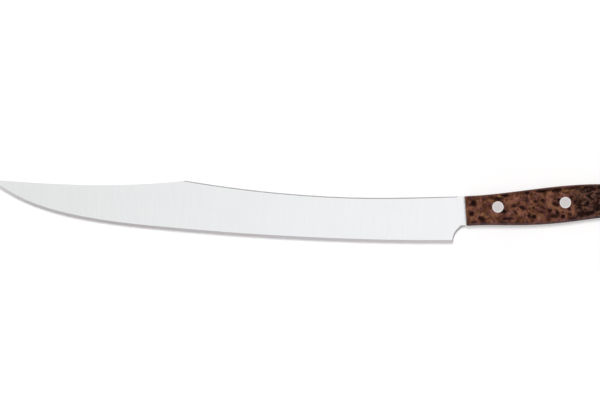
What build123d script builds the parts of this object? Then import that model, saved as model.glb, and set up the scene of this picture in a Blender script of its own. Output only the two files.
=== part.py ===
from build123d import *
import os
from math import cos, radians, sin, sqrt, tan

os.makedirs("parts", exist_ok=True)

# A carving knife: a long clip-point blade with a full tang, two wooden scales and three rivets.
# Millimetres. While the pieces are made, X=0 and Y=0 are the top front corner of the handle, the
# tip points to -X, the spine to +Y, and Z=0 is the middle of the steel. At the end the whole knife
# is laid on the flat of its lower scale, with the middle of its box over the origin.

# Blade and tang
blade_length = 310.0
blade_depth = 30.4
stock_thickness = 2.8
spine_thickness = 2.6
tip_grind_share = 0.72
shoulder_thickness = 0.76
bevel_width = 1.9
ricasso_length = 0.2
plunge_radius = 12.0
spine_rounding = 0.8
notch_radius = 10.6
notch_wall = 0.16
notch_chamfer_angle = 27.0

# Handle
handle_length = 133.0
handle_depth = 24.0
scale_thickness = 7.6
scale_rounding = 2.2
scale_setback = 0.3
front_rounding = 0.8

# Rivets, each a socket half from below and a post half from above
rivet_names = ("front", "middle", "rear")
handle_rise_angle = 3.8
head_diameter = 7.3
head_seat_depth = 2.2
tube_diameter = 5.0
post_diameter = 3.4
post_end_gap = 0.4

# Clearances
head_sink = 0.05
shank_clearance = 0.05
overrun = 1.0

# Outlines as shares from the top front corner of the handle: the blade's of its length towards
# the tip and of its depth, the handle's of its length towards the butt and of its depth. The
# edge begins at the heel, in front of the notch
spine_shares = (
    (0.5815, 0.3318),
    (0.4737, 0.1696),
    (0.3189, 0.0171),
    (0.1850, -0.0320),
    (0.0678, -0.0139),
    (0.0, 0.0),
)
clip_shares = (
    (1.0, 0.3595),
    (0.8964, 0.2849),
    (0.7792, 0.2379),
    (0.6621, 0.2635),
    (0.5815, 0.3318),
)
edge_shares = (
    (0.0227, -1.0),
    (0.1348, -0.9975),
    (0.3022, -0.9467),
    (0.4696, -0.8507),
    (0.6370, -0.7099),
    (0.7625, -0.5605),
    (0.8462, -0.3919),
    (0.9132, -0.1679),
    (1.0, 0.3595),
)
handle_top_shares = (
    (0.0, 0.0),
    (0.159, 0.065),
    (0.359, 0.201),
    (0.525, 0.296),
    (0.661, 0.326),
    (0.800, 0.306),
    (0.930, 0.300),
)

# The butt: how far along the handle its top corner and its hook reach, the fullest point between
# them, and the radii there as shares of the handle's depth
butt_shares = (0.985, 0.978)
butt_middle_share = (1.004, -0.2)
butt_radius_shares = (0.25, 1.04, 0.175)

handle_bottom_shares = (
    (0.915, -0.672),
    (0.827, -0.588),
    (0.744, -0.556),
    (0.661, -0.588),
    (0.549, -0.670),
    (0.408, -0.755),
    (0.232, -0.788),
    (0.076, -0.788),
    (0.010, -0.807),
)

# The rivets' places as shares: the first one's of the handle's length and depth, their spacing of
# the length
first_rivet_share = (0.1624, -0.2933)
rivet_spacing_share = 0.3293


def blade_points(shares):
    return [Vector(-along * blade_length, up * blade_depth) for along, up in shares]


def handle_points(shares):
    return [Vector(along * handle_length, up * handle_depth) for along, up in shares]


def on_line(start, heading, x):
    # The point of a line at this X
    return start + heading * ((x - start.X) / heading.X)


def butt_line(top, bottom):
    # The butt carries the top and bottom lines on to two rounded corners, with a full middle
    top_share, hook_share = butt_shares
    corner = on_line(top @ 1, top % 1, top_share * handle_length)
    middle = handle_points([butt_middle_share])[0]
    hook = on_line(bottom @ 0, bottom % 0, hook_share * handle_length)
    radii = [share * handle_depth for share in butt_radius_shares]
    return FilletPolyline(top @ 1, corner, middle, hook, bottom @ 0, radius=radii)


# Curves that two or more pieces share
spine_curve = Spline(*blade_points(spine_shares))
clip_curve = Spline(*blade_points(clip_shares))
edge_curve = Spline(*blade_points(edge_shares))
handle_top_curve = Spline(*handle_points(handle_top_shares))
handle_bottom_curve = Spline(*handle_points(handle_bottom_shares))
butt_curve = butt_line(handle_top_curve, handle_bottom_curve)
notch_curve = RadiusArc(handle_bottom_curve @ 1, edge_curve @ 0, -notch_radius)

# Heights above the middle of the steel
half_stock = stock_thickness / 2
half_shoulder = shoulder_thickness / 2
half_handle = half_stock + scale_thickness
seat_height = half_handle - head_seat_depth


def slab(outline, low, high):
    # A flat plate with a closed outline, between two heights
    edges = [edge for piece in outline for edge in piece.edges()]
    face = Pos(0, 0, low) * Face(Wire(edges))
    return extrude(face, amount=high - low, dir=(0, 0, 1))


def rod(place, diameter, low, high):
    # An upright round bar, between two heights
    length = high - low
    return Pos(place.X, place.Y, low + length / 2) * Cylinder(diameter / 2, length)


def rivet_places():
    # The rivets stand in a line that climbs towards the butt as the handle does
    climb = Vector(cos(radians(handle_rise_angle)), sin(radians(handle_rise_angle)))
    step = climb * rivet_spacing_share * handle_length
    first = handle_points([first_rivet_share])[0]
    return [first + step * index for index in range(len(rivet_names))]


def steel_blank():
    # The outline runs past the cutting edge and the tip, where the grinds cut it back
    drop = Vector(0, overrun)
    heel = edge_curve @ 0
    tip = clip_curve @ 0
    past_tip = tip - (clip_curve % 0) * overrun
    outline = [
        spine_curve,
        handle_top_curve,
        butt_curve,
        handle_bottom_curve,
        notch_curve,
        Line(heel, heel - drop),
        edge_curve.moved(Location(-drop)),
        Line(tip - drop, past_tip),
        Line(past_tip, tip),
        clip_curve,
    ]
    return slab(outline, -half_stock, half_stock)


def front_heading():
    # The heading of the handle's straight front, from its low corner to the top one
    return (handle_top_curve @ 0 - handle_bottom_curve @ 1).normalized()


def grind_section(x, edge_y, lean, across=Vector(0, 1)):
    # What one grind takes off at one place along the blade: the flat face down to the bevel's
    # shoulder, then the bevel down to the edge and beyond it
    bevel_rise = bevel_width * lean
    full_slope = (spine_thickness / 2 - half_shoulder) / (blade_depth - bevel_width)
    slope = full_slope * (1 + (1 - tip_grind_share) * x / blade_length)
    top = (clip_curve @ 0).Y + overrun
    reach = 2 * overrun * lean
    ceiling = half_stock + plunge_radius + overrun
    outline = Polyline(
        (top, half_shoulder + (top - edge_y - bevel_rise) * slope),
        (edge_y + bevel_rise, half_shoulder),
        (edge_y - reach, -half_shoulder * reach / bevel_rise),
        (edge_y - reach, ceiling),
        (top, ceiling),
        close=True,
    )
    return Plane(origin=(x, 0, 0), x_dir=across, z_dir=(across.Y, -across.X, 0)) * make_face(outline)


def upper_grind():
    # The grind follows the cutting edge and rises out of the steel close to the handle's front and
    # in line with it, as a wheel of the plunge radius leaves it. It ends past the tip
    depth = half_stock - half_shoulder
    run_out = sqrt(plunge_radius**2 - (plunge_radius - depth) ** 2)
    start = plunge_radius - run_out - ricasso_length
    sections = [grind_section(start, (edge_curve @ 0).Y, 1, front_heading())]
    for point in blade_points(edge_shares):
        heading = edge_curve.tangent_at(edge_curve.param_at_point(point))
        sections.append(grind_section(point.X, point.Y, 1 / abs(heading.X)))
    heading = edge_curve % 1
    past = edge_curve @ 1 + heading * 3 * overrun
    sections.append(grind_section(past.X, past.Y, 1 / abs(heading.X)))
    cutter = loft(sections)
    end_wall = cutter.faces().sort_by(Axis.X)[-1]
    return fillet(end_wall.edges().sort_by(Axis.Z)[:2], plunge_radius)


def upper_notch_chamfer():
    # A cone about the notch's middle, cut off in line with the handle's front
    wall = notch_wall / 2
    rise = half_stock + overrun - wall
    outer_radius = notch_radius + rise / tan(radians(notch_chamfer_angle))
    middle = notch_curve.arc_center
    cone = Pos(middle.X, middle.Y, wall + rise / 2) * Cone(notch_radius, outer_radius, rise)
    up = front_heading() * 2 * outer_radius
    back = Vector(up.Y, -up.X)
    start = handle_bottom_curve @ 1 - back.normalized() * ricasso_length
    behind = Polyline(start - up, start + up, start + up + back, start - up + back, close=True)
    return cone - slab([behind], 0, wall + rise + overrun)


def starts_at_hump(edge):
    # Long edges that set out from the corner of the hump towards the handle
    start = edge.bounding_box().min.X
    return edge.length > blade_depth and abs(start - (spine_curve @ 0).X) < spine_rounding


def make_blade():
    # Blade and full tang in one piece of steel, the spine rounded from the hump to the handle and
    # the notch chamfered
    grind = upper_grind()
    blade = steel_blank() - grind - mirror(grind, about=Plane.XY)
    blade = fillet(blade.edges().filter_by(starts_at_hump), spine_rounding)
    chamfer = upper_notch_chamfer()
    blade = blade - chamfer - mirror(chamfer, about=Plane.XY)
    for place in rivet_places():
        blade -= rod(place, tube_diameter + 2 * shank_clearance, -half_handle, half_handle)
    return blade


def make_scale():
    # The upper scale: it follows the tang, and its front is cut off straight
    top_corner = handle_top_curve @ 0
    low_corner = handle_bottom_curve @ 1
    reach = 2 * scale_rounding
    top_reach = top_corner - (handle_top_curve % 0) * reach
    low_reach = low_corner + (handle_bottom_curve % 1) * reach
    outline = [
        handle_top_curve,
        butt_curve,
        handle_bottom_curve,
        Line(low_corner, low_reach),
        Line(low_reach, top_reach),
        Line(top_reach, top_corner),
    ]
    scale = slab(outline, half_stock, half_handle)
    rim = scale.faces().sort_by(Axis.Z)[-1].edges().sort_by(Axis.X)
    scale = fillet(rim[1:], scale_rounding)
    # The straight front
    down = -front_heading()
    back = Vector(-down.Y, down.X)
    corners = [
        top_corner + back * scale_setback - down * reach,
        low_corner + back * scale_setback + down * reach,
        low_corner - back * 2 * reach + down * reach,
        top_corner - back * 2 * reach - down * reach,
    ]
    scale -= slab([Polyline(*corners, close=True)], -half_handle, half_handle + overrun)
    front = scale.faces().sort_by(Axis.X)[0]
    scale = fillet(front.edges().sort_by(Axis.Z)[1:], front_rounding)
    for place in rivet_places():
        scale -= rod(place, tube_diameter + 2 * shank_clearance, -half_handle, half_handle)
        scale -= rod(place, head_diameter, seat_height, half_handle + overrun)
    return scale


def make_socket(place):
    # A head from below and the tube that rises from it through the scales and the tang
    head = rod(place, head_diameter, head_sink - half_handle, -seat_height)
    tube = rod(place, tube_diameter, -seat_height, seat_height - post_end_gap)
    return head + tube - rod(place, post_diameter, -seat_height, seat_height)


def make_post(place):
    # A head from above and the post that is pressed into the tube
    head = rod(place, head_diameter, seat_height, half_handle - head_sink)
    return head + rod(place, post_diameter, post_end_gap - seat_height, seat_height)


def make_pieces():
    scale = make_scale()
    pieces = {
        "blade": make_blade(),
        "scale_upper": scale,
        "scale_lower": mirror(scale, about=Plane.XY),
    }
    for name, place in zip(rivet_names, rivet_places()):
        pieces["rivet_" + name + "_socket"] = make_socket(place)
        pieces["rivet_" + name + "_post"] = make_post(place)
    return pieces


def lay_down(pieces):
    # The lower scale's flat is at Z=0 and the middle of the whole knife's box over the origin
    box = Compound(children=[piece.moved(Location()) for piece in pieces.values()]).bounding_box()
    middle = box.center()
    rest = Location((-middle.X, -middle.Y, half_handle))
    return {name: piece.moved(rest) for name, piece in pieces.items()}


for node, piece in lay_down(make_pieces()).items():
    solids = piece.solids()
    print(node, len(solids), piece.is_valid, round(piece.volume, 1))
    export_step(solids[0], "parts/" + node + ".step")
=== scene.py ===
import math

import bpy
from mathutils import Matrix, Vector


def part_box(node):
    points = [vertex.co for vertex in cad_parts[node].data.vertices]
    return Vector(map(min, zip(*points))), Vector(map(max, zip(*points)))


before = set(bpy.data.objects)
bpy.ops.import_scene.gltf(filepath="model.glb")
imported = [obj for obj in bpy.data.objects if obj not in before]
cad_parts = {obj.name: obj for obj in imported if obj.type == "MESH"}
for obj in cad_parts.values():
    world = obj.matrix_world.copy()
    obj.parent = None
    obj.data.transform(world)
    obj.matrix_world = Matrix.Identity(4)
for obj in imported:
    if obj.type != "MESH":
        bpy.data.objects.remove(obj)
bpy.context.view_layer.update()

# The photograph, in pixels: its size, the tip, which lies left of it, and the handle's front and top
PHOTO_WIDTH, PHOTO_HEIGHT = 600, 400
PHOTO_TIP_X = -13.5
PHOTO_HANDLE_FRONT_X = 464.9
PHOTO_HANDLE_TOP_Y = 184.1
# Where the paler strip before the handle begins, and how far down the notch's line is
PHOTO_STRIP_X = 456.5
PHOTO_NOTCH_Y = 225.6

# Camera: its height over the knife and how far it sees, in metres, and its sensor in millimetres
CAMERA_HEIGHT = 2.5
CAMERA_FAR = 50.0
SENSOR_WIDTH = 36.0

# Light: the lamp gives this part of a plain level. The world is weakened to its share for the rays
# that only light things, and keeps its full strength in reflections
KEY_SHARE = 0.58
WORLD_SHARE = 0.7
# The lamp's tilt from overhead, its heading from +X and its angular size, in degrees
KEY_TILT = 7.0
KEY_HEADING = 100.0
KEY_ANGLE = 9.0

# Floor: its half side and its drop below the knife in metres, and the glow that makes it read white
FLOOR_REACH = 12.0
FLOOR_DROP = 0.00005
FLOOR_GLOW = 0.38

# A millimetre, in metres
MM = 0.001

# Linear colours: plain white, the floor's paper and glow, and the world's tints, which are those of
# its dimmer parts, of the parts high up on the edge's side and of those overhead towards the tip
WHITE = (1.0, 1.0, 1.0, 1.0)
PAPER_DARK = (0.69, 0.69, 0.69, 1.0)
PAPER_PALE = (0.71, 0.71, 0.71, 1.0)
GLOW_TINT = (1.0, 0.985, 0.985, 1.0)
WORLD_WARM = (1.0, 0.965, 0.955, 1.0)
WORLD_PINKISH = (1.0, 0.895, 0.92, 1.0)
WORLD_TO_TIP = (0.985, 1.0, 0.97, 1.0)

# Steel of the blade, in screen values from 0 to 255: its satin, its clouds, and the painted shade
# that darkens its steep walls
STEEL_DARK = (238, 239, 241)
STEEL_PALE = (246, 247, 249)
STEEL_CLOUD = (238, 239, 242)
STEEL_WALL_SHADE = (203, 203, 206)
# Its grinding lines: how fine they are along X, Y and Z, on the faces, in broader bands there, and on
# the walls
GRIND_FACES = (9.0, 0.22, 9.0)
GRIND_BANDS = (0.8, 0.05, 0.8)
GRIND_WALLS = (0.15, 0.15, 11.0)

# Steel of the rivets: their rings and patches, and their rim
RIVET_DARK = (206, 199, 198)
RIVET_PALE = (232, 227, 227)
RIVET_RIM = (234, 229, 230)
# How close the rings lie, in radians of their wave over a rivet's width
RIVET_RINGS = 90.0

# Wood: its body from dark to pale with the noise value of each tone, what it is multiplied by where
# it is more purple or more yellow, and its lighter patches, grain, mottling and eyes
WOOD_BODY = (
    (0.34, (62, 34, 26)),
    (0.45, (92, 55, 42)),
    (0.55, (117, 74, 58)),
    (0.68, (147, 101, 81)),
)
WOOD_PURPLER = (0.97, 0.92, 1.5, 1.0)
WOOD_YELLOWER = (0.95, 1.09, 0.5, 1.0)
WOOD_LIGHT = (150, 98, 76)
WOOD_GRAIN = (48, 27, 22)
WOOD_MOTTLE = (40, 22, 18)
WOOD_EYE_RING = (51, 24, 19)
WOOD_EYE = (19, 5, 4)
# Wood behind the middle rivet: its darker ground, and its dark and pale streaks
WOOD_DARKER = (52, 39, 36)
STREAK_DARK = (15, 6, 5)
STREAK_PALE = (104, 80, 70)
# Painted sheen on the rounded rims: a reflection on the edge's side, highlights on the spine's side and at
# the front
RIM_EDGE_SHEEN = (92, 76, 82)
RIM_SPINE_SHEEN = (112, 78, 72)
RIM_FRONT_SHEEN = (132, 86, 62)
# How far the lower scale's wood is moved from the upper one's, in millimetres, so that they differ
LOWER_WOOD_OFFSET = (310.0, 47.0, 90.0)

# Dark eyes and smears of the burl on the upper scale, by pixel of the photograph: middle, half
# length, half width, turn in degrees and darkness
BURL_EYES = (
    (473.2, 203.2, 3.2, 2.9, 70, 1.0),
    (465.9, 204.0, 3.6, 1.0, 90, 0.8),
    (471.0, 213.5, 3.0, 2.0, 65, 0.95),
    (481.3, 218.8, 4.3, 2.2, -25, 0.85),
    (472.5, 222.6, 2.6, 1.7, 0, 0.6),
    (485.8, 206.2, 3.6, 2.2, 0, 0.5),
    (489.7, 206.8, 2.4, 1.3, 80, 0.5),
    (487.0, 213.2, 3.0, 2.2, 20, 0.4),
    (497.8, 198.8, 4.6, 1.8, 0, 0.85),
    (504.5, 195.3, 4.0, 1.9, -10, 1.0),
    (503.9, 211.4, 2.8, 1.9, 0, 1.0),
    (513.2, 205.8, 2.8, 2.0, 0, 0.75),
    (515.0, 212.4, 3.0, 2.0, -50, 0.7),
    (508.0, 218.6, 6.0, 1.6, 0, 0.85),
    (502.0, 222.6, 4.6, 1.8, 0, 0.6),
    (522.2, 207.6, 3.8, 2.0, -20, 0.9),
    (526.6, 192.2, 2.5, 2.1, 0, 1.0),
    (526.4, 200.2, 2.6, 2.2, 70, 0.7),
    (517.2, 222.3, 2.6, 1.6, 0, 0.5),
    (528.8, 215.7, 2.9, 2.0, 90, 0.9),
    (541.6, 190.9, 6.6, 1.7, 2, 1.0),
    (556.5, 190.2, 5.0, 2.4, 2, 0.9),
    (549.5, 188.4, 3.4, 1.2, 0, 0.55),
    (534.6, 201.5, 2.0, 1.8, 0, 0.7),
    (537.6, 205.3, 1.8, 1.5, 70, 0.6),
    (542.4, 200.6, 2.2, 1.8, 0, 0.8),
    (542.4, 207.2, 1.8, 1.7, 0, 0.75),
    (533.0, 207.6, 1.7, 1.6, 0, 0.65),
    (540.6, 211.8, 3.0, 1.7, 0, 0.7),
    (543.8, 208.4, 1.9, 1.6, 0, 0.7),
    (533.6, 216.8, 2.4, 2.0, 0, 1.0),
    (549.6, 210.4, 2.1, 1.9, 0, 0.9),
    (555.0, 204.3, 4.0, 2.0, -25, 0.9),
    (558.7, 200.0, 2.1, 1.9, 0, 0.9),
    (557.0, 212.8, 3.6, 2.0, -65, 0.8),
    (553.4, 216.0, 4.0, 1.7, 0, 0.8),
    (562.6, 216.8, 2.2, 2.1, 0, 1.0),
    (569.0, 209.2, 1.8, 1.8, 0, 0.8),
    (569.5, 214.3, 2.2, 1.6, 0, 0.8),
    (571.5, 218.6, 4.2, 2.0, -5, 0.7),
    (571.0, 197.2, 2.0, 1.7, 0, 0.8),
    (574.8, 202.0, 2.3, 1.5, 90, 0.85),
    (566.0, 193.0, 3.6, 1.4, 0, 0.5),
    (571.5, 188.2, 8.0, 1.7, 5, 0.75),
    (585.6, 187.4, 2.8, 1.8, 0, 0.8),
    (591.8, 188.2, 3.2, 1.8, 0, 0.9),
    (579.8, 200.8, 1.8, 1.6, 0, 0.7),
    (578.6, 204.6, 2.4, 1.6, 0, 0.7),
    (582.2, 212.3, 2.6, 1.8, 0, 0.85),
    (588.3, 213.2, 5.6, 2.3, 12, 0.9),
    (580.4, 215.7, 4.0, 1.4, 0, 0.7),
    (598.0, 198.2, 2.4, 1.4, 0, 0.8),
    (594.5, 203.6, 3.6, 2.4, 0, 0.55),
)

# Lighter patches, told in the same way
BURL_LIGHTS = (
    (479.2, 204.0, 4.5, 2.8, 90, 0.8),
    (472.5, 209.6, 3.4, 2.4, 0, 0.5),
    (496.0, 214.6, 4.5, 2.4, 20, 0.8),
    (508.5, 201.0, 6.0, 4.0, 0, 0.6),
    (518.0, 211.0, 6.0, 2.6, -25, 0.8),
    (526.0, 212.0, 4.0, 2.6, -10, 0.5),
    (549.0, 198.8, 5.2, 3.3, 90, 0.8),
    (549.0, 205.0, 3.6, 2.6, 90, 0.35),
    (562.4, 210.8, 5.6, 3.2, 0, 0.7),
    (572.6, 209.6, 5.8, 2.6, 90, 1.0),
    (532.0, 202.4, 3.0, 2.2, 90, 0.5),
    (475.0, 217.4, 2.8, 2.4, 0, 0.5),
)
# Where the photographed wood turns darker, and where the photograph ends, in pixels
BURL_DARKER_X = 575.0
BURL_EYES_END_X = 600.0
# Round eyes, large and small: the millimetres between them, their largest radius, and the share of
# them that is left out
EYES_LARGE = (5.2, 2.0, 0.1)
EYES_SMALL = (3.0, 0.9, 0.45)


# Places on the knife

def pixel_size():
    """Metres of knife to a pixel of the photograph."""
    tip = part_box("blade")[0].x
    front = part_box("scale_upper")[0].x
    return (front - tip) / (PHOTO_HANDLE_FRONT_X - PHOTO_TIP_X)


def photo_point(x, y):
    """The place on the knife that a pixel of the photograph shows."""
    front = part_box("scale_upper")[0].x
    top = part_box("scale_upper")[1].y
    pixel = pixel_size()
    return Vector((front + (x - PHOTO_HANDLE_FRONT_X) * pixel, top - (y - PHOTO_HANDLE_TOP_Y) * pixel, 0.0))


# Node helpers

def add(tree, kind, inputs=None, **settings):
    """A new node with its settings and inputs; a socket given as an input is linked."""
    node = tree.nodes.new(kind)
    for name, value in settings.items():
        setattr(node, name, value)
    for name, value in (inputs or {}).items():
        if isinstance(value, bpy.types.NodeSocket):
            tree.links.new(value, node.inputs[name])
        else:
            node.inputs[name].default_value = value
    return node


def calc(tree, operation, *values):
    """A maths node's result."""
    node = add(tree, "ShaderNodeMath", dict(enumerate(values)), operation=operation)
    return node.outputs[0]


def vector_calc(tree, operation, *values):
    """A vector maths node's result."""
    node = add(tree, "ShaderNodeVectorMath", dict(enumerate(values)), operation=operation)
    return node.outputs[0]


def scaled(tree, vector, times):
    """A vector this many times as long."""
    inputs = {"Vector": vector, "Scale": times}
    return add(tree, "ShaderNodeVectorMath", inputs, operation="SCALE").outputs[0]


def length(tree, vector):
    """A vector's length."""
    return add(tree, "ShaderNodeVectorMath", {0: vector}, operation="LENGTH").outputs["Value"]


def separate(tree, vector):
    """A vector's X, Y and Z, as a set of outputs."""
    return add(tree, "ShaderNodeSeparateXYZ", {0: vector}).outputs


def between(tree, factor, first, second):
    """A number on the way from one to another."""
    return add(tree, "ShaderNodeMix", {0: factor, 2: first, 3: second}).outputs[0]


def fade(tree, value, low, high, to_low=0.0, to_high=1.0):
    """A smooth step of a value from one range to another."""
    ranges = {"Value": value, "From Min": low, "From Max": high, "To Min": to_low, "To Max": to_high}
    node = add(tree, "ShaderNodeMapRange", ranges, interpolation_type="SMOOTHSTEP")
    return node.outputs["Result"]


def noise(tree, vector, scale, detail, roughness, distortion=0.0):
    """A noise texture's outputs."""
    inputs = {
        "Vector": vector,
        "Scale": scale,
        "Detail": detail,
        "Roughness": roughness,
        "Distortion": distortion,
    }
    return add(tree, "ShaderNodeTexNoise", inputs).outputs


def stretched_noise(tree, vector, scales, detail, roughness):
    """Noise with a scale of its own along X, Y and Z."""
    return noise(tree, vector_calc(tree, "MULTIPLY", vector, scales), 1.0, detail, roughness)[0]


def swirl(tree, vector, scale, detail, roughness):
    """A smoothly changing vector, with each part of it from about -0.5 to 0.5."""
    direction = noise(tree, vector, scale, detail, roughness)["Color"]
    return vector_calc(tree, "SUBTRACT", direction, (0.5, 0.5, 0.5))


def pushed(tree, vector, push, times):
    """A place pushed by a vector, this many times its length."""
    return vector_calc(tree, "ADD", vector, scaled(tree, push, times))


def blend(tree, factor, first, second, blend_type="MIX"):
    """Two colours mixed."""
    inputs = {0: factor, 6: first, 7: second}
    return add(tree, "ShaderNodeMix", inputs, data_type="RGBA", blend_type=blend_type).outputs[2]


def ramp(tree, factor, stops):
    """A colour ramp through (place, colour) stops."""
    node = add(tree, "ShaderNodeValToRGB", {"Fac": factor})
    elements = node.color_ramp.elements
    while len(elements) < len(stops):
        elements.new(0.5)
    for element, (place, colour) in zip(elements, stops):
        element.position = place
        element.color = colour
    return node.outputs["Color"]


def rgb(screen):
    """A colour given as 0 to 255 screen values, turned into linear light."""
    def linear(value):
        value /= 255
        return value / 12.92 if value <= 0.04045 else ((value + 0.055) / 1.055) ** 2.4
    return (*map(linear, screen), 1.0)


def material(name):
    """A new material with an empty node tree."""
    made = bpy.data.materials.new(name)
    made.use_nodes = True
    made.node_tree.nodes.clear()
    return made, made.node_tree


def finish_surface(tree, shader):
    """Makes a shader the material's surface."""
    add(tree, "ShaderNodeOutputMaterial", {"Surface": shader.outputs[0]})


def metal(tree, colour, roughness, normal):
    """Bare metal on the material's surface."""
    finish_surface(tree, add(tree, "ShaderNodeBsdfPrincipled", {
        "Base Color": colour,
        "Metallic": 1.0,
        "Roughness": roughness,
        "Normal": normal,
    }))


def bump(tree, height, strength, depth):
    """The surface's direction, roughened by a height of at most this many millimetres."""
    inputs = {"Height": height, "Strength": strength, "Distance": depth * MM}
    return add(tree, "ShaderNodeBump", inputs).outputs[0]


def facing(tree):
    """The direction that the surface faces, as a set of outputs X, Y and Z."""
    return separate(tree, add(tree, "ShaderNodeNewGeometry").outputs["True Normal"])


def millimetres(tree):
    """The place on the piece, in millimetres."""
    place = add(tree, "ShaderNodeTexCoord").outputs["Object"]
    return scaled(tree, place, 1 / MM)


# Materials

def evened_corner(tree, place, flatness):
    """1 in the corner beside the handle where the polish evens out the plunge's start and the end of
    the notch's chamfer, and 0 elsewhere."""
    here = separate(tree, place)
    corner = photo_point(PHOTO_STRIP_X, PHOTO_NOTCH_Y) / MM
    even = fade(tree, here["X"], corner.x, corner.x + 0.8)
    even = calc(tree, "MULTIPLY", even, fade(tree, flatness, 0.4, 0.6))
    return calc(tree, "MULTIPLY", even, fade(tree, here["Y"], corner.y - 0.3, corner.y + 0.5))


def blade_steel():
    """Fine satin steel: ground across the blade on its faces, along the edge on its walls, which are
    darkened by painted shade.
    """
    made, tree = material("blade_steel")
    place = millimetres(tree)
    across = stretched_noise(tree, place, GRIND_FACES, 5.0, 0.6)
    bands = stretched_noise(tree, place, GRIND_BANDS, 3.0, 0.5)
    along = stretched_noise(tree, place, GRIND_WALLS, 4.0, 0.6)
    cloud = noise(tree, place, 0.045, 3.0, 0.5)[0]
    upright = facing(tree)["Z"]
    flatness = calc(tree, "ABSOLUTE", upright)
    even = evened_corner(tree, place, flatness)
    wall = calc(tree, "MULTIPLY", fade(tree, flatness, 0.75, 0.45), calc(tree, "SUBTRACT", 1.0, even))
    lines = between(tree, wall, across, along)
    tone = calc(tree, "ADD", calc(tree, "MULTIPLY", lines, 0.6), calc(tree, "MULTIPLY", bands, 0.4))
    colour = ramp(tree, tone, ((0.25, rgb(STEEL_DARK)), (0.75, rgb(STEEL_PALE))))
    colour = blend(tree, fade(tree, cloud, 0.35, 0.7, 0.0, 0.3), colour, rgb(STEEL_CLOUD))
    # Painted shade: the steep walls are darkened in colour, except in the evened corner
    colour = blend(tree, calc(tree, "MULTIPLY", wall, 0.8), colour, rgb(STEEL_WALL_SHADE))
    ground = bump(tree, lines, 0.1, 0.003)
    level = add(tree, "ShaderNodeCombineXYZ", {"Z": calc(tree, "SIGN", upright)}).outputs[0]
    eased = add(tree, "ShaderNodeMix", {0: even, 4: ground, 5: level}, data_type="VECTOR").outputs[1]
    normal = vector_calc(tree, "NORMALIZE", eased)
    metal(tree, colour, fade(tree, lines, 0.2, 0.8, 0.19, 0.25), normal)
    return made


def rivet_steel():
    """Turned and polished rivet ends: faint rings about each rivet's own axis."""
    made, tree = material("rivet_steel")
    # Generated places run from 0 to 1 over each rivet's box, and its axis is in the middle
    local = add(tree, "ShaderNodeTexCoord").outputs["Generated"]
    centred = vector_calc(tree, "SUBTRACT", local, (0.5, 0.5, 0.0))
    radius = length(tree, vector_calc(tree, "MULTIPLY", centred, (1.0, 1.0, 0.0)))
    place = millimetres(tree)
    grain = noise(tree, place, 1.6, 4.0, 0.6)[0]
    wobble = calc(tree, "MULTIPLY_ADD", grain, 0.03, radius)
    rings = calc(tree, "SINE", calc(tree, "MULTIPLY", wobble, RIVET_RINGS))
    rings = calc(tree, "MULTIPLY_ADD", rings, 0.5, 0.5)
    patches = noise(tree, place, 1.1, 3.0, 0.5)[0]
    tone = calc(tree, "MULTIPLY_ADD", rings, 0.3, calc(tree, "MULTIPLY", patches, 0.7))
    colour = ramp(tree, tone, ((0.25, rgb(RIVET_DARK)), (0.75, rgb(RIVET_PALE))))
    colour = blend(tree, fade(tree, radius, 0.36, 0.44), colour, rgb(RIVET_RIM))
    metal(tree, colour, fade(tree, grain, 0.3, 0.7, 0.24, 0.36), bump(tree, rings, 0.15, 0.01))
    return made


def marks(tree, place, table):
    """How much of a mark each place is: the strongest of a table's soft-edged ellipses."""
    pixel = pixel_size() / MM
    strongest = None
    for x, y, half_length, half_width, turn, strength in table:
        middle = photo_point(x, y) / MM
        ellipse = add(tree, "ShaderNodeMapping", {
            "Vector": place,
            "Location": (middle.x, middle.y, 0.0),
            "Rotation": (0.0, 0.0, math.radians(turn)),
            "Scale": (half_length * pixel, half_width * pixel, 1.0),
        }, vector_type="TEXTURE")
        mark = fade(tree, length(tree, ellipse.outputs[0]), 1.7, 0.3, 0.0, strength)
        strongest = mark if strongest is None else calc(tree, "MAXIMUM", strongest, mark)
    return strongest


def marks_group():
    """A node group that gives the burl's eyes and lighter patches at a place."""
    group = bpy.data.node_groups.new("burl_marks", "ShaderNodeTree")
    group.interface.new_socket("Place", in_out="INPUT", socket_type="NodeSocketVector")
    group.interface.new_socket("Eyes", in_out="OUTPUT", socket_type="NodeSocketFloat")
    group.interface.new_socket("Lights", in_out="OUTPUT", socket_type="NodeSocketFloat")
    place = add(group, "NodeGroupInput").outputs["Place"]
    drawn = {"Eyes": marks(group, place, BURL_EYES), "Lights": marks(group, place, BURL_LIGHTS)}
    add(group, "NodeGroupOutput", drawn)
    return group


def round_eyes(tree, place, cell, widest, empty):
    """Round eyes of uneven sizes in cells this many millimetres wide, a share of them left empty."""
    cells = add(tree, "ShaderNodeTexVoronoi", {"Vector": place, "Scale": 1 / cell}, voronoi_dimensions="2D")
    chance = add(tree, "ShaderNodeSeparateColor", {0: cells.outputs["Color"]}).outputs[0]
    size = fade(tree, chance, empty, 1.0, 0.0, widest / cell)
    inside = calc(tree, "SUBTRACT", size, cells.outputs["Distance"])
    return fade(tree, inside, -0.03, 0.10)


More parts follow.
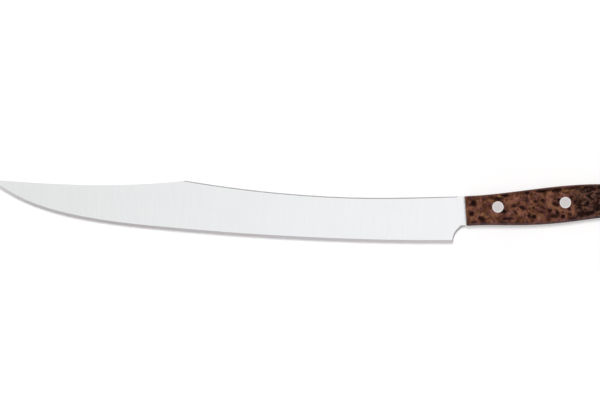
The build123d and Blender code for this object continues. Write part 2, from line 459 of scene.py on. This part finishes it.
def darkened(tree, colour, parts, bent, hue):
    """The darker stretch behind the middle rivet, with its streaks, over the wood's colour."""
    start = photo_point(BURL_DARKER_X, 0).x / MM
    darker = fade(tree, calc(tree, "MULTIPLY_ADD", hue, 6.0, parts["X"]), start, start + 6.0)
    flow = add(tree, "ShaderNodeMapping", {
        "Vector": bent,
        "Rotation": (0.0, 0.0, math.radians(12)),
        "Scale": (6.0, 2.1, 2.1),
    }, vector_type="TEXTURE").outputs[0]
    streaks = noise(tree, flow, 1.0, 3.0, 0.5, 0.6)[0]
    dark_streaks = calc(tree, "MULTIPLY", darker, fade(tree, streaks, 0.48, 0.57, 0.0, 0.95))
    pale_streaks = calc(tree, "MULTIPLY", darker, fade(tree, streaks, 0.45, 0.37, 0.0, 0.5))
    colour = blend(tree, calc(tree, "MULTIPLY", darker, 0.42), colour, rgb(WOOD_DARKER))
    colour = blend(tree, dark_streaks, colour, rgb(STREAK_DARK))
    return blend(tree, pale_streaks, colour, rgb(STREAK_PALE))


def with_eyes(tree, colour, parts, eye_place, drawn_eyes, depth):
    """Eyes over the wood: the drawn ones, round ones of the same kind behind the photograph's end, and
    faint small ones all over."""
    end = photo_point(BURL_EYES_END_X, 0).x / MM
    unseen = fade(tree, parts["X"], end - 1.0, end + 1.5)
    large = round_eyes(tree, eye_place, *EYES_LARGE)
    small = round_eyes(tree, eye_place, *EYES_SMALL)
    eyes = calc(tree, "MULTIPLY", calc(tree, "MAXIMUM", large, small), unseen)
    eyes = calc(tree, "MAXIMUM", eyes, drawn_eyes)
    eyes = calc(tree, "MULTIPLY", eyes, fade(tree, depth, 6.0, 1.5, 0.25, 1.0))
    eyes = calc(tree, "MAXIMUM", eyes, calc(tree, "MULTIPLY", small, 0.35))
    colour = blend(tree, fade(tree, eyes, 0.0, 0.55, 0.0, 0.6), colour, rgb(WOOD_EYE_RING))
    return blend(tree, fade(tree, eyes, 0.25, 1.0, 0.0, 0.95), colour, rgb(WOOD_EYE))


def with_painted_rim_sheen(tree, colour, behind_front):
    """Painted sheen on the rounded rims, over the wood: a purplish painted reflection on the edge's side,
    a warmer painted highlight on the spine's side and at the front."""
    sideways = facing(tree)["Y"]
    # Painted reflection: the rounded rim on the edge's side is paler and purplish, as if it mirrored the
    # floor
    edge_sheen = fade(tree, sideways, -0.05, -0.6, 0.0, 0.5)
    edge_sheen = calc(tree, "MULTIPLY", edge_sheen, fade(tree, sideways, -0.97, -0.85))
    colour = blend(tree, edge_sheen, colour, rgb(RIM_EDGE_SHEEN))
    # Painted highlights: the rims on the spine's side and at the front are paler and warmer
    colour = blend(tree, fade(tree, sideways, 0.35, 0.8, 0.0, 0.5), colour, rgb(RIM_SPINE_SHEEN))
    return blend(tree, fade(tree, behind_front, 2.2, 0.6, 0.0, 0.4), colour, rgb(RIM_FRONT_SHEEN))


def burl_wood(name, group, node, outer, turned, offset):
    """Reddish-brown burl: mottled, with dark eyes, smears and lighter patches. The eyes are drawn on
    the scale's outer face and fade below it. Turned wood has the drawn marks the other way round, and
    the offset gives the rest of it another pattern."""
    made, tree = material(name)
    low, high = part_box(node)
    own = millimetres(tree)
    behind_front = calc(tree, "SUBTRACT", separate(tree, own)["X"], low.x / MM)
    if turned:
        own = vector_calc(tree, "MULTIPLY", own, (-1.0, 1.0, 1.0))
        own = vector_calc(tree, "ADD", own, ((low.x + high.x) / MM, 0.0, 0.0))
    parts = separate(tree, own)
    depth = calc(tree, "ABSOLUTE", calc(tree, "SUBTRACT", parts["Z"], outer / MM))
    place = vector_calc(tree, "ADD", own, offset)
    fine_swirl = swirl(tree, place, 0.55, 3.0, 0.6)
    bent = pushed(tree, place, swirl(tree, place, 0.10, 2.0, 0.5), 14.0)
    bent = pushed(tree, bent, fine_swirl, 2.2)
    eye_place = pushed(tree, own, fine_swirl, 1.9)
    eye_place = vector_calc(tree, "MULTIPLY", eye_place, (1.0, 1.0, 0.0))
    drawn = add(tree, "ShaderNodeGroup", {"Place": eye_place}, node_tree=group).outputs

    body = noise(tree, bent, 0.22, 6.0, 0.62)[0]
    colour = ramp(tree, body, [(value, rgb(tone)) for value, tone in WOOD_BODY])
    hue = noise(tree, place, 0.35, 2.0, 0.5)[0]
    colour = blend(tree, fade(tree, hue, 0.5, 0.62, 0.0, 0.6), colour, WOOD_PURPLER, "MULTIPLY")
    colour = blend(tree, fade(tree, hue, 0.48, 0.38, 0.0, 0.55), colour, WOOD_YELLOWER, "MULTIPLY")
    lights = calc(tree, "MULTIPLY", drawn["Lights"], fade(tree, body, 0.25, 0.5, 0.6, 1.0))
    colour = blend(tree, calc(tree, "MULTIPLY", lights, 0.85), colour, rgb(WOOD_LIGHT))
    grain = stretched_noise(tree, bent, (0.25, 1.5, 1.5), 5.0, 0.65)
    colour = blend(tree, fade(tree, grain, 0.5, 0.72, 0.0, 0.6), colour, rgb(WOOD_GRAIN))
    mottle = noise(tree, place, 0.6, 4.0, 0.6)[0]
    colour = blend(tree, fade(tree, mottle, 0.50, 0.66, 0.0, 0.8), colour, rgb(WOOD_MOTTLE))
    colour = darkened(tree, colour, parts, bent, hue)
    colour = with_eyes(tree, colour, parts, eye_place, drawn["Eyes"], depth)
    # Painted sheen on the rims: a reflection on the edge's side, highlights on the spine's side and front
    colour = with_painted_rim_sheen(tree, colour, behind_front)

    pores = stretched_noise(tree, place, (1.2, 5.0, 5.0), 3.0, 0.6)
    finish_surface(tree, add(tree, "ShaderNodeBsdfPrincipled", {
        "Base Color": colour,
        "Roughness": fade(tree, mottle, 0.3, 0.7, 0.36, 0.48),
        "Specular IOR Level": 0.06,
        "Normal": bump(tree, pores, 0.2, 0.03),
    }))
    return made


def dress():
    """Every CAD node gets its material. All the rivets share theirs."""
    steel = blade_steel()
    rivets = rivet_steel()
    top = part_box("scale_upper")[1].z
    group = marks_group()
    looks = {
        "blade": steel,
        "scale_upper": burl_wood("burl_wood_upper", group, "scale_upper", top, False, (0.0, 0.0, 0.0)),
        "scale_lower": burl_wood("burl_wood_lower", group, "scale_lower", 0.0, True, LOWER_WOOD_OFFSET),
    }
    for name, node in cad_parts.items():
        node.data.materials.clear()
        node.data.materials.append(looks.get(name, rivets))


# Stage

def make_camera():
    """Straight above the knife, where the photograph is taken from."""
    middle = photo_point(PHOTO_WIDTH / 2, PHOTO_HEIGHT / 2)
    plane = (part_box("blade")[1].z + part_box("scale_upper")[1].z) / 2
    data = bpy.data.cameras.new("camera")
    data.sensor_width = SENSOR_WIDTH
    data.lens = SENSOR_WIDTH * CAMERA_HEIGHT / (PHOTO_WIDTH * pixel_size())
    data.clip_end = CAMERA_FAR
    camera = bpy.data.objects.new("camera", data)
    camera.location = (middle.x, middle.y, plane + CAMERA_HEIGHT)
    bpy.context.scene.collection.objects.link(camera)
    bpy.context.scene.camera = camera


def seen_directly(tree):
    """1 for camera, glossy and transmission rays, 0 for the rays that only light things."""
    path = add(tree, "ShaderNodeLightPath").outputs
    seen = calc(tree, "MAXIMUM", path["Is Camera Ray"], path["Is Glossy Ray"])
    return calc(tree, "MAXIMUM", seen, path["Is Transmission Ray"])


def make_floor():
    """A plain pale floor that reads as white and keeps the knife's shadow."""
    reach = FLOOR_REACH
    mesh = bpy.data.meshes.new("floor")
    corners = [(-reach, -reach, 0), (reach, -reach, 0), (reach, reach, 0), (-reach, reach, 0)]
    mesh.from_pydata(corners, [], [(0, 1, 2, 3)])
    floor = bpy.data.objects.new("floor", mesh)
    floor.location.z = -FLOOR_DROP
    bpy.context.scene.collection.objects.link(floor)
    made, tree = material("floor")
    speckle = noise(tree, millimetres(tree), 0.02, 3.0, 0.5)[0]
    colour = ramp(tree, speckle, ((0.3, PAPER_DARK), (0.7, PAPER_PALE)))
    paper = add(tree, "ShaderNodeBsdfDiffuse", {"Color": colour})
    glow = calc(tree, "MULTIPLY", seen_directly(tree), FLOOR_GLOW)
    white = add(tree, "ShaderNodeEmission", {"Color": GLOW_TINT, "Strength": glow})
    finish_surface(tree, add(tree, "ShaderNodeAddShader", {0: paper.outputs[0], 1: white.outputs[0]}))
    mesh.materials.append(made)


def world_level(tree, towards, seen):
    """How bright the studio tent is in each direction."""
    # The overhead panel reaches far towards the tip, where it narrows, and least towards the spine
    to_tip = calc(tree, "MULTIPLY", towards["X"], -0.3)
    along = calc(tree, "MAXIMUM", to_tip, calc(tree, "MULTIPLY", towards["X"], 0.9))
    narrowing = calc(tree, "MULTIPLY_ADD", calc(tree, "MAXIMUM", to_tip, 0.0), 2.9, 1.0)
    beside = calc(tree, "MULTIPLY", calc(tree, "ADD", towards["Y"], 0.06), narrowing)
    reach = add(tree, "ShaderNodeCombineXYZ", {"X": along, "Y": beside}).outputs[0]
    overhead = fade(tree, length(tree, reach), 0.55, 0.18)
    # It dims a little way towards the tip, and is bright again just beyond
    dimmest = -0.125
    slant = fade(tree, towards["X"], dimmest, 0.006, 0.66, 1.09)
    slant = calc(tree, "MAXIMUM", slant, fade(tree, towards["X"], dimmest, -0.15, 0.0, 1.06))
    panel = calc(tree, "MULTIPLY", slant, overhead)
    # A low strip on the edge's side, and a paler band all round near the floor
    strip = fade(tree, towards["Y"], -0.60, -0.75, 0.0, 0.55)
    sideways = calc(tree, "ABSOLUTE", towards["X"])
    strip = calc(tree, "MULTIPLY", strip, fade(tree, sideways, 0.5, 0.25))
    band = fade(tree, towards["Z"], 0.42, 0.59, 0.64, 0.30)
    # In reflections the band reaches higher on the spine's side, so that the blade stays pale there
    higher_band = fade(tree, towards["Z"], 0.57, 0.70, 0.60, 0.30)
    to_spine = calc(tree, "MULTIPLY", seen, fade(tree, towards["Y"], 0.0, 0.2))
    band = between(tree, to_spine, band, higher_band)
    return calc(tree, "MAXIMUM", calc(tree, "MAXIMUM", panel, band), strip)


def world_tint(tree, towards, level, camera):
    """The tent's tint in each direction. The camera sees plain white."""
    # The dimmer parts are slightly warm, and more pinkish high up on the edge's side
    to_edge = fade(tree, towards["Y"], -0.2, -0.4)
    to_edge = calc(tree, "MULTIPLY", to_edge, fade(tree, towards["Z"], 0.6, 0.75))
    warm = blend(tree, to_edge, WORLD_WARM, WORLD_PINKISH)
    clear = fade(tree, level, 0.4, 0.9)
    clear = calc(tree, "MULTIPLY", clear, calc(tree, "MULTIPLY_ADD", to_edge, -0.6, 1.0))
    clear = calc(tree, "MAXIMUM", clear, camera)
    tint = blend(tree, clear, warm, WHITE)
    # Overhead towards the tip it has a little less blue and red
    to_point = fade(tree, towards["X"], -0.03, -0.06)
    to_point = calc(tree, "MULTIPLY", to_point, fade(tree, towards["Z"], 0.9, 0.96))
    elsewhere = calc(tree, "MAXIMUM", to_edge, camera)
    to_point = calc(tree, "MULTIPLY", to_point, calc(tree, "SUBTRACT", 1.0, elsewhere))
    return blend(tree, to_point, tint, WORLD_TO_TIP)


def make_world():
    """A studio tent: bright overhead, dimmer towards the sides, white where the camera sees it."""
    world = bpy.data.worlds.new("studio")
    bpy.context.scene.world = world
    world.use_nodes = True
    tree = world.node_tree
    tree.nodes.clear()
    towards = separate(tree, add(tree, "ShaderNodeTexCoord").outputs["Generated"])
    camera = add(tree, "ShaderNodeLightPath").outputs["Is Camera Ray"]
    seen = seen_directly(tree)
    level = world_level(tree, towards, seen)
    tint = world_tint(tree, towards, level, camera)
    share = between(tree, seen, WORLD_SHARE, 1.0)
    strength = between(tree, camera, calc(tree, "MULTIPLY", level, share), 1.0)
    sky = add(tree, "ShaderNodeBackground", {"Color": tint, "Strength": strength})
    add(tree, "ShaderNodeOutputWorld", {"Surface": sky.outputs[0]})


def make_key():
    """One soft lamp nearly overhead, which throws the narrow shadow below the knife."""
    data = bpy.data.lights.new("key", "SUN")
    data.energy = math.pi * KEY_SHARE
    data.angle = math.radians(KEY_ANGLE)
    lamp = bpy.data.objects.new("key", data)
    tilt = math.radians(KEY_TILT)
    heading = math.radians(KEY_HEADING)
    aside = math.sin(tilt)
    towards = Vector((aside * math.cos(heading), aside * math.sin(heading), math.cos(tilt)))
    lamp.rotation_euler = towards.to_track_quat("Z", "Y").to_euler()
    lamp.location = towards * CAMERA_HEIGHT
    lamp.visible_glossy = False
    bpy.context.scene.collection.objects.link(lamp)


make_camera()
make_floor()
make_world()
make_key()
dress()

bpy.context.scene.view_settings.view_transform = "Standard"
